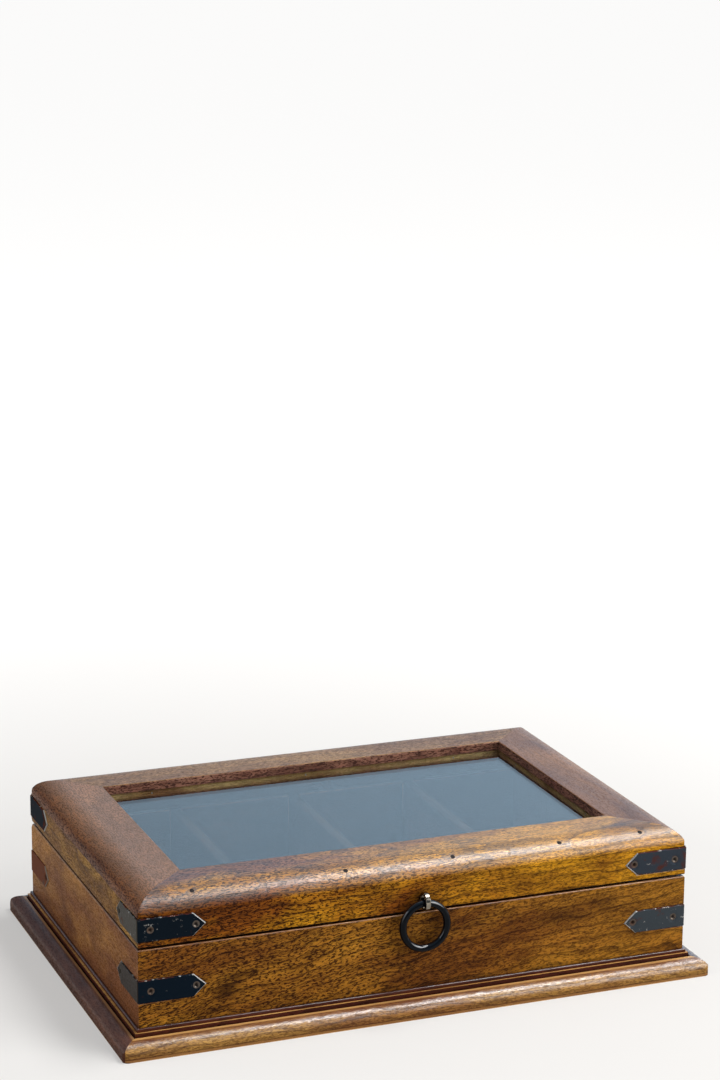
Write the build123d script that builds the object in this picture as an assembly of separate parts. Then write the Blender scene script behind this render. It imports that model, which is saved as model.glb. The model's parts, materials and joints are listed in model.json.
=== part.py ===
from build123d import *

import os
from math import radians, sqrt, tan

# A glass-topped wooden box: four walls on a moulded plinth, a hinged lid, iron corner straps and a ring pull.
# Lengths are in millimetres. +Z is up, the front faces -Y, and the origin is under the middle of the plinth.

# Case walls and floor
CASE_WIDTH = 283.0  # over the walls, left to right
CASE_DEPTH = 190.0  # over the walls, front to back
WALL_THICKNESS = 12.0
WALL_HEIGHT = 38.2
ARRIS_RADIUS = 0.8  # worn edges along the seam
FLOOR_THICKNESS = 4.0
FLOOR_CLEARANCE = 0.2

# Plinth moulding: a rounded top member at the wall, a narrow groove, a quarter round and an upright nose
PLINTH_HEIGHT = 12.0
PLINTH_PROJECTION = 10.5  # past the walls' outer faces
PLINTH_LEDGE = 8.0  # past the walls' inner faces, where it carries the floor
PLINTH_TOP_REACH = 1.2
PLINTH_TOP_RADIUS = 0.6
PLINTH_STEP_WIDTH = 1.1  # small step under the top member
PLINTH_STEP_DROP = 1.7
PLINTH_GROOVE_WIDTH = 0.9
PLINTH_GROOVE_DEPTH = 0.7  # below the quarter round
PLINTH_ROUND_DROP = 1.7  # from the step to the quarter round
PLINTH_NOSE = 2.9
PLINTH_CORNER_RADIUS = 3.0  # worn corners, seen from above

# Dividers, housed in the front and back walls, and the velvet on the floor between them
DIVIDER_COUNT = 3
DIVIDER_THICKNESS = 6.0
DIVIDER_DROP = 0.6  # below the top of the walls
HOUSING_DEPTH = 3.0
HOUSING_CLEARANCE = 0.1
LINING_THICKNESS = 1.5
LINING_CLEARANCE = 0.3

# Lid: a skirt as thick as the walls, with a flat frame nailed on top and its outer edge rounded over
SEAM_GAP = 0.8
SKIRT_HEIGHT = 15.0
FRAME_WIDTH = 30.4
FRAME_THICKNESS = 9.7
FRAME_ROUND_RUN = 14.5
FRAME_ROUND_DROP = 9.4
FRAME_ARRIS_RADIUS = 0.6
FRAME_CORNER_RADIUS = 2.0  # worn corners, seen from above

# Glass in a rebate under the frame, with beads below it
GLASS_THICKNESS = 3.0
GLASS_LIP = 4.7  # wood left above the glass
GLASS_CLEARANCE = 0.5
REBATE_WIDTH = 7.0
BEAD_WIDTH = 6.5
BEAD_HEIGHT = 4.0
BEAD_RADIUS = 2.5

# Corner straps: bent iron with pointed ends, let into the wood and standing a little proud
STRAP_WIDTH = 11.3
STRAP_LENGTH = 33.0  # corner to point
STRAP_SHOULDER = 26.8  # corner to where the point starts
STRAP_THICKNESS = 1.2
STRAP_PROUD = 0.5
STRAP_BEND_RADIUS = 1.0
STRAP_BEVEL = 0.3
STRAP_CLEARANCE = 0.15
CASE_STRAP_HEIGHT = 17.6  # middle of the strap above the plinth
LID_STRAP_HEIGHT = 8.8  # middle of the strap above the lid's lower edge

# Strap nails, with dished heads sunk just below the strap's face
NAIL_NEAR = 6.0  # from the corner
NAIL_FAR = 28.2
NAIL_HEAD_RADIUS = 1.75
NAIL_HEAD_HEIGHT = 0.9
NAIL_SHANK_RADIUS = 0.85
NAIL_LENGTH = 10.0
NAIL_SINK = 0.25
NAIL_DISH_RADIUS = 1.35
NAIL_DISH_DEPTH = 0.45
DIMPLE_RADIUS = 3.0  # hollow hammered into the strap round each nail
DIMPLE_DEPTH = 0.3
FASTENER_CLEARANCE = 0.05  # round every nail, pin and screw

# Frame nails, punched through the rounding into the skirt and dressed flush
FRAME_NAIL_HEAD_RADIUS = 1.1
FRAME_NAIL_HEAD_HEIGHT = 2.0
FRAME_NAIL_SHANK_RADIUS = 0.8
FRAME_NAIL_LENGTH = 12.0

# Bead pins
BEAD_PIN_RADIUS = 0.5
BEAD_PIN_LENGTH = 12.0

# Plinth screws, from below
PLINTH_SCREW_HEAD_RADIUS = 3.2
PLINTH_SCREW_HEAD_HEIGHT = 2.4
PLINTH_SCREW_SHANK_RADIUS = 1.6
PLINTH_SCREW_LENGTH = 25.0
PLINTH_SCREW_SINK = 0.6
PLINTH_SCREW_SLOT = 0.8

# Butt hinges: the pin lies just inside the back, and the back edges are chamfered so that the lid stops open
HINGE_END = 45.5  # wall's outer end to the middle of the hinge
HINGE_INSET = 2.5  # back face to the pin's axis
LEAF_LENGTH = 38.0
LEAF_THICKNESS = 1.0
LEAF_MARGIN = 0.5  # wood left inside the leaf
LEAF_CLEARANCE = 0.2
BARREL_RADIUS = 2.0
BARREL_CLEARANCE = 0.4
KNUCKLE_GAP = 0.3
PIN_RADIUS = 1.0
PIN_CLEARANCE = 0.05
PIN_HEAD_RADIUS = 1.6
PIN_HEAD_LENGTH = 0.8
STOP_ANGLE = 102.0  # opening at which the two chamfers would meet
HINGE_SCREW_HEAD_RADIUS = 1.7
HINGE_SCREW_HEAD_HEIGHT = 0.8
HINGE_SCREW_SHANK_RADIUS = 0.9
HINGE_SCREW_LENGTH = 8.0
HINGE_SCREW_SLOT = 0.4

# Ring pull and the split-pin eye that it hangs in
RING_RADIUS = 11.4  # to the middle of the wire
WIRE_RADIUS = 1.8
RING_STANDOFF = 4.6  # front face to the middle of the wire
RING_HEIGHT = 5.4  # top of the wire's middle above the lid's lower edge
EYE_BORE_RADIUS = 3.2  # larger than the wire, which hangs in its lower part
EYE_CLEARANCE = 0.5  # under the wire
EYE_WALL = 1.3
EYE_WIDTH = 2.4
EYE_EDGE_RADIUS = 0.35
EYE_LEG_RADIUS = 1.4
EYE_LEG_CLEARANCE = 0.1
CLINCH_LENGTH = 7.0
CLINCH_THICKNESS = 1.4

OVERRUN = 2.0  # how far a cutter runs past the face that it cuts

# Places along a side, as shares of half its length, and along a hinge leaf, as shares of the leaf
FRAME_NAIL_SHARES = {
    "front": (-0.80, -0.26, 0.13, 0.53, 0.84),
    "back": (-0.82, -0.40, 0.0, 0.42, 0.80),
    "left": (-0.62, 0.03, 0.64),
    "right": (-0.64, -0.02, 0.60),
}
PLINTH_SCREW_SHARES = {
    "front": (-0.76, 0.0, 0.76),
    "back": (-0.76, 0.0, 0.76),
    "left": (-0.6, 0.6),
    "right": (-0.6, 0.6),
}
BEAD_PIN_SHARES = {
    "front": (-0.6, 0.0, 0.6),
    "back": (-0.6, 0.0, 0.6),
    "left": (-0.45, 0.45),
    "right": (-0.45, 0.45),
}
HINGE_SCREW_SHARES = (-0.36, 0.0, 0.36)

# Worked out from the sizes above
SIDE_TURNS = {"front": 0, "right": 90, "back": 180, "left": 270}
wall_top = PLINTH_HEIGHT + WALL_HEIGHT
seam_height = wall_top + SEAM_GAP / 2
lid_bottom = wall_top + SEAM_GAP
frame_bottom = lid_bottom + SKIRT_HEIGHT
lid_top = frame_bottom + FRAME_THICKNESS
glass_top = lid_top - GLASS_LIP
glass_bottom = glass_top - GLASS_THICKNESS
floor_top = PLINTH_HEIGHT + FLOOR_THICKNESS
inner_width = CASE_WIDTH - 2 * WALL_THICKNESS
inner_depth = CASE_DEPTH - 2 * WALL_THICKNESS
rebate_face = FRAME_WIDTH - REBATE_WIDTH


def side_halves(side):
    """Half the length of a side, and how far its outer face stands from the middle."""
    if side in ("front", "back"):
        return CASE_WIDTH / 2, CASE_DEPTH / 2
    return CASE_DEPTH / 2, CASE_WIDTH / 2


def on_side(side, shape):
    """Carry a shape made for the front to another side: x along it, y inwards from its outer face."""
    return Rot(0, 0, SIDE_TURNS[side]) * Pos(0, -side_halves(side)[1], 0) * shape


def mitred(side, section, corner_radius=0):
    """A bar of the given section, cut at 45 degrees at both ends. The section's x runs inwards.

    A corner radius rounds the outer corners that the bar makes with its neighbours, seen from above.
    """
    half_length = side_halves(side)[0]
    box = section.bounding_box()
    near = box.min.X
    far = box.max.X
    bar = extrude(Plane.YZ * section, half_length - near, both=True)
    plan = Polyline(
        (near - half_length, near),
        (half_length - near, near),
        (half_length - far, far),
        (far - half_length, far),
        close=True,
    )
    ends = extrude(Pos(0, 0, box.min.Y) * make_face(plan), box.max.Y - box.min.Y)
    mitred_bar = bar & ends
    if corner_radius:
        inset = near + corner_radius
        waste = Rectangle(corner_radius + OVERRUN, corner_radius + OVERRUN, align=(Align.MIN, Align.MAX))
        waste = Pos(half_length - inset, inset) * (waste - Circle(corner_radius))
        cut = extrude(Pos(0, 0, box.min.Y - OVERRUN) * waste, box.max.Y - box.min.Y + 2 * OVERRUN)
        mitred_bar -= [cut, mirror(cut, about=Plane.YZ)]
    return on_side(side, mitred_bar)


def along(side, shares, shape):
    """Copies of a shape along a side, at shares of half the side's length."""
    half_length = side_halves(side)[0]
    return [on_side(side, Pos(share * half_length, 0, 0) * shape) for share in shares]


def fastener(head_radius, head_height, shank_radius, length):
    """Nail or screw with a cone head: head face at the origin, pointing down, with a short pointed tip."""
    shank_length = length - head_height - shank_radius
    head = Pos(0, 0, -head_height / 2) * Cone(shank_radius, head_radius, head_height)
    shank = Pos(0, 0, -head_height - shank_length / 2) * Cylinder(shank_radius, shank_length)
    tip = Pos(0, 0, -length + shank_radius / 2) * Cone(0, shank_radius, shank_radius)
    return head + shank + tip


def fastener_hole(head_radius, head_height, shank_radius, length):
    """Cutter for a fastener's hole, with its countersink running out past the surface."""
    gap = FASTENER_CLEARANCE
    sink = Pos(0, 0, -head_height / 2) * Cone(shank_radius + gap, head_radius + gap, head_height)
    mouth = Pos(0, 0, OVERRUN / 2) * Cylinder(head_radius + gap, OVERRUN)
    bore = Pos(0, 0, -(length + gap) / 2) * Cylinder(shank_radius + gap, length + gap)
    return sink + mouth + bore


def slotted(screw, head_radius, slot):
    """A screw with a driver slot across its head."""
    return screw - Box(2 * head_radius, slot, slot)


def board(bottom, height, worn):
    """Section of a board on edge, with the arrises of its top (-1) or bottom (0) edge worn round."""
    section = Pos(WALL_THICKNESS / 2, bottom + height / 2) * Rectangle(WALL_THICKNESS, height)
    return fillet(section.vertices().group_by(Axis.Y)[worn], ARRIS_RADIUS)


def plinth_section():
    """Moulding from the ledge under the floor, over the top member, a step and the quarter round, to the nose."""
    inner = WALL_THICKNESS + PLINTH_LEDGE
    step = PLINTH_TOP_REACH + PLINTH_STEP_WIDTH
    step_top = PLINTH_HEIGHT - PLINTH_STEP_DROP
    groove = step + PLINTH_GROOVE_WIDTH
    round_top = step_top - PLINTH_ROUND_DROP
    groove_floor = round_top - PLINTH_GROOVE_DEPTH
    shoulder = PLINTH_HEIGHT - PLINTH_TOP_RADIUS
    top_centre = (PLINTH_TOP_RADIUS - PLINTH_TOP_REACH, shoulder)
    line = Polyline(
        (-PLINTH_PROJECTION, PLINTH_NOSE),
        (-PLINTH_PROJECTION, 0),
        (inner, 0),
        (inner, PLINTH_HEIGHT),
        (top_centre[0], PLINTH_HEIGHT),
    )
    line += CenterArc(top_centre, PLINTH_TOP_RADIUS, 90, 90)
    line += Polyline(
        (-PLINTH_TOP_REACH, shoulder),
        (-PLINTH_TOP_REACH, step_top),
        (-step, step_top),
        (-step, groove_floor),
        (-groove, groove_floor),
        (-groove, round_top),
    )
    line += EllipticalCenterArc(
        (-groove, PLINTH_NOSE),
        PLINTH_PROJECTION - groove,
        round_top - PLINTH_NOSE,
        start_angle=90,
        arc_size=90,
    )
    return make_face(line)


def frame_section():
    """Flat frame rail: rounded over at its outer edge, with a rebate for the glass in its inner underside."""
    spring = lid_top - FRAME_ROUND_DROP
    line = Polyline(
        (FRAME_ROUND_RUN, lid_top),
        (FRAME_WIDTH, lid_top),
        (FRAME_WIDTH, glass_top),
        (rebate_face, glass_top),
        (rebate_face, frame_bottom),
        (0, frame_bottom),
        (0, spring),
    )
    line += EllipticalCenterArc(
        (FRAME_ROUND_RUN, spring), FRAME_ROUND_RUN, FRAME_ROUND_DROP, start_angle=90, arc_size=90
    )
    section = make_face(line)
    top_corner = section.vertices().sort_by(lambda corner: corner.X + corner.Y)[-1]
    return fillet(top_corner, FRAME_ARRIS_RADIUS)


def frame_surface(inset):
    """Height of the frame's rounding at a distance inwards from its outer edge."""
    share = (FRAME_ROUND_RUN - inset) / FRAME_ROUND_RUN
    return lid_top - FRAME_ROUND_DROP * (1 - sqrt(1 - share**2))


def bead_section():
    """Glazing bead: it fills the rebate below the glass and hangs under the frame, rounded at the free edge."""
    middle = (rebate_face + BEAD_WIDTH / 2, glass_bottom - BEAD_HEIGHT / 2)
    section = Pos(*middle) * Rectangle(BEAD_WIDTH, BEAD_HEIGHT)
    free_corner = section.vertices().sort_by(lambda corner: corner.X - corner.Y)[-1]
    return fillet(free_corner, BEAD_RADIUS)


def strap_leg(grow):
    """Outline of one leg in its own plane: x from the corner to the point, y up from its middle line."""
    half = STRAP_WIDTH / 2
    line = Polyline(
        (-STRAP_PROUD, -half),
        (STRAP_SHOULDER, -half),
        (STRAP_LENGTH, 0),
        (STRAP_SHOULDER, half),
        (-STRAP_PROUD, half),
        close=True,
    )
    leg = make_face(line)
    return offset(leg, grow, kind=Kind.INTERSECTION) if grow else leg


def strap_prisms(grow, outer):
    """Both legs of a strap at a front left corner, from its inner faces out to the given distance."""
    inner = STRAP_THICKNESS - STRAP_PROUD
    front = extrude(Pos(0, inner, 0) * (Plane.XZ * strap_leg(grow)), inner + outer)
    side = extrude(Pos(-outer, 0, 0) * (Plane.YZ * strap_leg(grow)), inner + outer)
    return front + side


def strap():
    """Strap for a front left corner: a bent band with pointed ends and its outer edges bevelled."""
    inner = STRAP_THICKNESS - STRAP_PROUD
    plan = Polyline(
        (STRAP_LENGTH, -STRAP_PROUD),
        (-STRAP_PROUD, -STRAP_PROUD),
        (-STRAP_PROUD, STRAP_LENGTH),
        (inner, STRAP_LENGTH),
        (inner, inner),
        (STRAP_LENGTH, inner),
        close=True,
    )
    band = make_face(plan)
    outer_corner = band.vertices().sort_by(lambda corner: corner.X + corner.Y)[0]
    band = fillet(outer_corner, STRAP_BEND_RADIUS)
    bent = extrude(band, STRAP_WIDTH / 2, both=True) & strap_prisms(0, STRAP_PROUD)
    skin = inner - STRAP_THICKNESS * 2 / 3
    flat_edges = bent.edges() - bent.edges().filter_by(Axis.Z)
    rim = [edge for edge in flat_edges if min((edge @ 0.5).X, (edge @ 0.5).Y) < skin]
    return chamfer(rim, STRAP_BEVEL)


def dish(radius, depth):
    """Ball that cuts a round hollow of this radius and depth at the origin, below the XY plane."""
    ball_radius = (radius**2 + depth**2) / (2 * depth)
    return Pos(0, 0, ball_radius - depth) * Sphere(ball_radius)


def strap_nail_planes():
    """Where the nails of a front left strap start: two on the front leg, one on the side leg."""
    sunk = NAIL_SINK - STRAP_PROUD
    front = [Plane(origin=(reach, sunk, 0), z_dir=(0, -1, 0)) for reach in (NAIL_NEAR, NAIL_FAR)]
    return front + [Plane(origin=(sunk, NAIL_FAR, 0), z_dir=(-1, 0, 0))]


def at_corner(corner, height, shape):
    """Carry a shape from a corner at the origin, made for the front left, to one of the four corners."""
    placed = Pos(-CASE_WIDTH / 2, -CASE_DEPTH / 2, height) * shape
    if corner.endswith("right"):
        placed = mirror(placed, about=Plane.YZ)
    if corner.startswith("back"):
        placed = mirror(placed, about=Plane.XZ)
    return placed


def leaf(direction, knuckles):
    """Hinge leaf about an X axis at the origin: direction -1 lies on the case, +1 under the lid."""
    knuckle = LEAF_LENGTH / 3
    width = WALL_THICKNESS - HINGE_INSET - LEAF_MARGIN
    middle_height = direction * (SEAM_GAP / 2 + LEAF_THICKNESS / 2)
    shape = Pos(0, -width / 2, middle_height) * Box(LEAF_LENGTH, width, LEAF_THICKNESS)
    notch_depth = 2 * (BARREL_RADIUS + KNUCKLE_GAP)
    notch_height = 2 * (SEAM_GAP + LEAF_THICKNESS)
    for place in (-1, 0, 1):
        if place not in knuckles:
            shape -= Pos(place * knuckle, 0, 0) * Box(knuckle + KNUCKLE_GAP, notch_depth, notch_height)
    for place in knuckles:
        shape += Pos(place * knuckle, 0, 0) * Rot(0, 90, 0) * Cylinder(BARREL_RADIUS, knuckle - KNUCKLE_GAP)
    shape -= Rot(0, 90, 0) * Cylinder(PIN_RADIUS + PIN_CLEARANCE, LEAF_LENGTH + OVERRUN)
    return shape


def leaf_recess(direction):
    """Cutter in the wood for one leaf and for the barrel with its pin heads."""
    width = WALL_THICKNESS - HINGE_INSET - LEAF_MARGIN + LEAF_CLEARANCE
    height = SEAM_GAP / 2 + LEAF_THICKNESS
    bed = Pos(0, -width / 2, direction * height / 2) * Box(LEAF_LENGTH + 2 * LEAF_CLEARANCE, width, height)
    length = LEAF_LENGTH + 2 * (PIN_HEAD_LENGTH + BARREL_CLEARANCE)
    return bed + Rot(0, 90, 0) * Cylinder(BARREL_RADIUS + BARREL_CLEARANCE, length)


def hinge_pin():
    """Pin through the knuckles, with a button head at each end."""
    pin = Rot(0, 90, 0) * Cylinder(PIN_RADIUS, LEAF_LENGTH)
    for end in (-1, 1):
        place = end * (LEAF_LENGTH + PIN_HEAD_LENGTH) / 2
        pin += Pos(place, 0, 0) * Rot(0, 90, 0) * Cylinder(PIN_HEAD_RADIUS, PIN_HEAD_LENGTH)
    return pin


def leaf_screw_planes(direction):
    """Where the screws of one leaf start, heads flush with the leaf and pointing into the wood."""
    free_width = WALL_THICKNESS - HINGE_INSET - LEAF_MARGIN + BARREL_RADIUS + KNUCKLE_GAP
    return [
        Plane(
            origin=(share * LEAF_LENGTH, -free_width / 2, direction * SEAM_GAP / 2),
            z_dir=(0, 0, -direction),
        )
        for share in HINGE_SCREW_SHARES
    ]


def back_chamfer(direction):
    """Cutter along the whole back edge: it falls away from the hinge axis by half the stop angle."""
    reach = HINGE_INSET + PLINTH_PROJECTION
    drop = direction * reach * tan(radians(STOP_ANGLE / 2))
    wedge = make_face(Polyline((0, 0), (reach, 0), (reach, drop), close=True))
    placed = Pos(0, CASE_DEPTH / 2 - HINGE_INSET, seam_height) * (Plane.YZ * wedge)
    return extrude(placed, CASE_WIDTH / 2 + OVERRUN, both=True)


nodes = {}
corners = ("front_left", "front_right", "back_left", "back_right")
case_cuts = [back_chamfer(-1)]
lid_cuts = [back_chamfer(1)]

# Corner straps and their nails
nail_sizes = (NAIL_HEAD_RADIUS, NAIL_HEAD_HEIGHT, NAIL_SHANK_RADIUS, NAIL_LENGTH)
nail = fastener(*nail_sizes) - dish(NAIL_DISH_RADIUS, NAIL_DISH_DEPTH)
nail_hole = fastener_hole(*nail_sizes)
dimple = Pos(0, 0, NAIL_SINK) * dish(DIMPLE_RADIUS, DIMPLE_DEPTH)
corner_strap = strap()
for plane in strap_nail_planes():
    corner_strap -= [plane * nail_hole, plane * dimple]
strap_rows = (
    ("case", PLINTH_HEIGHT + CASE_STRAP_HEIGHT, case_cuts),
    ("lid", lid_bottom + LID_STRAP_HEIGHT, lid_cuts),
)
for body, height, cuts in strap_rows:
    nails = []
    for corner in corners:
        nodes[f"{body}_strap_{corner}"] = at_corner(corner, height, corner_strap)
        cuts.append(at_corner(corner, height, strap_prisms(STRAP_CLEARANCE, OVERRUN)))
        for plane in strap_nail_planes():
            nails.append(at_corner(corner, height, plane * nail))
            cuts.append(at_corner(corner, height, plane * nail_hole))
    nodes[f"{body}_strap_nails"] = Compound(nails)

# Plinth screws, up through the plinth into the middle of each wall
screw_sizes = (
    PLINTH_SCREW_HEAD_RADIUS,
    PLINTH_SCREW_HEAD_HEIGHT,
    PLINTH_SCREW_SHANK_RADIUS,
    PLINTH_SCREW_LENGTH,
)
plinth_screw_plane = Plane(origin=(0, WALL_THICKNESS / 2, PLINTH_SCREW_SINK), z_dir=(0, 0, -1))
plinth_screw = slotted(fastener(*screw_sizes), PLINTH_SCREW_HEAD_RADIUS, PLINTH_SCREW_SLOT)
plinth_screws = []
plinth_cuts = []
for side, shares in PLINTH_SCREW_SHARES.items():
    plinth_screws += along(side, shares, plinth_screw_plane * plinth_screw)
    plinth_cuts += along(side, shares, plinth_screw_plane * fastener_hole(*screw_sizes))
nodes["plinth_screws"] = Compound(plinth_screws)
case_cuts += plinth_cuts

# Dividers, equally spaced, and the lining between them
compartment = (inner_width - DIVIDER_COUNT * DIVIDER_THICKNESS) / (DIVIDER_COUNT + 1)
pitch = compartment + DIVIDER_THICKNESS
divider_height = wall_top - DIVIDER_DROP - floor_top
divider_length = inner_depth + 2 * (HOUSING_DEPTH - HOUSING_CLEARANCE)
divider = Pos(0, 0, floor_top + divider_height / 2) * Box(DIVIDER_THICKNESS, divider_length, divider_height)
housing_height = WALL_HEIGHT - FLOOR_THICKNESS + OVERRUN
housing = Pos(0, 0, floor_top + housing_height / 2) * Box(
    DIVIDER_THICKNESS + 2 * HOUSING_CLEARANCE,
    inner_depth + 2 * HOUSING_DEPTH,
    housing_height,
)
lining = Pos(0, 0, floor_top + LINING_THICKNESS / 2) * Box(
    compartment - 2 * LINING_CLEARANCE,
    inner_depth - 2 * LINING_CLEARANCE,
    LINING_THICKNESS,
)
for number in range(DIVIDER_COUNT):
    place = Pos((number - (DIVIDER_COUNT - 1) / 2) * pitch, 0, 0)
    nodes[f"divider_{number + 1}"] = place * divider
    case_cuts.append(place * housing)
for number in range(DIVIDER_COUNT + 1):
    nodes[f"floor_lining_{number + 1}"] = Pos((number - DIVIDER_COUNT / 2) * pitch, 0, 0) * lining

# Hinges
hinge_screw_sizes = (
    HINGE_SCREW_HEAD_RADIUS,
    HINGE_SCREW_HEAD_HEIGHT,
    HINGE_SCREW_SHANK_RADIUS,
    HINGE_SCREW_LENGTH,
)
hinge_screw = slotted(fastener(*hinge_screw_sizes), HINGE_SCREW_HEAD_RADIUS, HINGE_SCREW_SLOT)
hinge_screw_hole = fastener_hole(*hinge_screw_sizes)
hinge_x = CASE_WIDTH / 2 - HINGE_END
hinge_y = CASE_DEPTH / 2 - HINGE_INSET
hinge_places = {"left": Pos(-hinge_x, hinge_y, seam_height), "right": Pos(hinge_x, hinge_y, seam_height)}
leaf_rows = (("case", -1, (-1, 1), case_cuts), ("lid", 1, (0,), lid_cuts))
for body, direction, knuckles, cuts in leaf_rows:
    screws = []
    plate = leaf(direction, knuckles)
    for plane in leaf_screw_planes(direction):
        plate -= plane * hinge_screw_hole
    for side, place in hinge_places.items():
        nodes[f"hinge_{body}_leaf_{side}"] = place * plate
        cuts.append(place * leaf_recess(direction))
        for plane in leaf_screw_planes(direction):
            screws.append(place * (plane * hinge_screw))
            cuts.append(place * (plane * hinge_screw_hole))
    nodes[f"hinge_{body}_screws"] = Compound(screws)
for side, place in hinge_places.items():
    nodes[f"hinge_pin_{side}"] = place * hinge_pin()

# Ring pull, hanging plumb in the eye of a split pin that is clinched inside the skirt
ring_place = Pos(0, -CASE_DEPTH / 2 - RING_STANDOFF, lid_bottom + RING_HEIGHT)
nodes["pull_ring"] = ring_place * Pos(0, 0, -RING_RADIUS) * Rot(90, 0, 0) * Torus(RING_RADIUS, WIRE_RADIUS)
eye_place = ring_place * Pos(0, 0, EYE_BORE_RADIUS - WIRE_RADIUS - EYE_CLEARANCE)
eye = Cylinder(EYE_BORE_RADIUS + EYE_WALL, EYE_WIDTH) - Cylinder(EYE_BORE_RADIUS, EYE_WIDTH)
eye = Rot(0, 90, 0) * eye
eye = fillet(eye.edges().filter_by(GeomType.CIRCLE), EYE_EDGE_RADIUS)
leg_start = EYE_BORE_RADIUS + EYE_WALL / 2
leg_end = RING_STANDOFF + WALL_THICKNESS + CLINCH_THICKNESS / 2
leg_length = leg_end - leg_start
leg = Pos(0, leg_start + leg_length / 2, 0) * Rot(90, 0, 0) * Cylinder(EYE_LEG_RADIUS, leg_length)
clinch = Box(2 * CLINCH_LENGTH, CLINCH_THICKNESS, 2 * EYE_LEG_RADIUS)
clinch = fillet(clinch.edges().filter_by(Axis.Y), EYE_LEG_RADIUS / 2)
nodes["pull_eye"] = eye_place * (eye + leg + Pos(0, leg_end, 0) * clinch)
leg_hole = Rot(90, 0, 0) * Cylinder(EYE_LEG_RADIUS + EYE_LEG_CLEARANCE, WALL_THICKNESS + 2 * OVERRUN)
lid_cuts.append(eye_place * Pos(0, RING_STANDOFF + WALL_THICKNESS / 2, 0) * leg_hole)

# Glass, with its beads and their pins
opening_width = CASE_WIDTH - 2 * FRAME_WIDTH
opening_depth = CASE_DEPTH - 2 * FRAME_WIDTH
glass_margin = 2 * (REBATE_WIDTH - GLASS_CLEARANCE)
nodes["lid_glass"] = Pos(0, 0, glass_bottom + GLASS_THICKNESS / 2) * Box(
    opening_width + glass_margin, opening_depth + glass_margin, GLASS_THICKNESS
)
bead_pin_height = (frame_bottom + glass_bottom) / 2
bead_pin_middle = rebate_face + BEAD_WIDTH - BEAD_PIN_LENGTH / 2
bead_pin_place = Pos(0, bead_pin_middle, bead_pin_height) * Rot(90, 0, 0)
bead_pin = bead_pin_place * Cylinder(BEAD_PIN_RADIUS, BEAD_PIN_LENGTH)
bead_pin_hole = bead_pin_place * Cylinder(
    BEAD_PIN_RADIUS + FASTENER_CLEARANCE, BEAD_PIN_LENGTH + 2 * FASTENER_CLEARANCE
)
bead_pins = []
bead_cuts = []
for side, shares in BEAD_PIN_SHARES.items():
    bead_pins += along(side, shares, bead_pin)
    bead_cuts += along(side, shares, bead_pin_hole)
nodes["bead_pins"] = Compound(bead_pins)

# Frame nails, in the middle of the skirt below, with their heads dressed to the rounding
frame_bars = {side: mitred(side, frame_section(), FRAME_CORNER_RADIUS) for side in SIDE_TURNS}
nail_inset = WALL_THICKNESS / 2
head_bottom = frame_surface(nail_inset) - FRAME_NAIL_HEAD_HEIGHT
shank_bottom = frame_surface(nail_inset) - FRAME_NAIL_LENGTH


def upright_pin(radius, bottom, top):
    """Upright cylinder over the middle of the skirt."""
    return Pos(0, nail_inset, (bottom + top) / 2) * Cylinder(radius, top - bottom)


frame_nail_head = upright_pin(FRAME_NAIL_HEAD_RADIUS, head_bottom, lid_top)
frame_nail_shank = upright_pin(FRAME_NAIL_SHANK_RADIUS, shank_bottom, head_bottom)
frame_nail_hole = upright_pin(
    FRAME_NAIL_HEAD_RADIUS + FASTENER_CLEARANCE, head_bottom - FASTENER_CLEARANCE, lid_top + OVERRUN
) + upright_pin(FRAME_NAIL_SHANK_RADIUS + FASTENER_CLEARANCE, shank_bottom - FASTENER_CLEARANCE, lid_top)
frame_nails = []
frame_cuts = []
for side, shares in FRAME_NAIL_SHARES.items():
    heads = along(side, shares, frame_nail_head)
    shanks = along(side, shares, frame_nail_shank)
    frame_nails += [(head & frame_bars[side]) + shank for head, shank in zip(heads, shanks)]
    frame_cuts += along(side, shares, frame_nail_hole)
nodes["frame_nails"] = Compound(frame_nails)
lid_cuts += frame_cuts

# Mitred boards, mouldings and beads, with everything that is let into them
for side in SIDE_TURNS:
    nodes[f"plinth_{side}"] = mitred(side, plinth_section(), PLINTH_CORNER_RADIUS) - plinth_cuts
    nodes[f"wall_{side}"] = mitred(side, board(PLINTH_HEIGHT, WALL_HEIGHT, -1)) - case_cuts
    nodes[f"lid_skirt_{side}"] = mitred(side, board(lid_bottom, SKIRT_HEIGHT, 0)) - lid_cuts
    nodes[f"lid_frame_{side}"] = frame_bars[side] - (frame_cuts + bead_cuts)
    nodes[f"glass_bead_{side}"] = mitred(side, bead_section()) - bead_cuts

# Floor, dropped between the walls on to the plinth's ledge
nodes["floor_panel"] = Pos(0, 0, PLINTH_HEIGHT + FLOOR_THICKNESS / 2) * Box(
    inner_width - 2 * FLOOR_CLEARANCE, inner_depth - 2 * FLOOR_CLEARANCE, FLOOR_THICKNESS
)

os.makedirs("parts", exist_ok=True)
for name, shape in nodes.items():
    export_step(shape, f"parts/{name}.step")
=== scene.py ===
import json
import math

import bmesh
import bpy
from mathutils import Matrix, Vector

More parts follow.
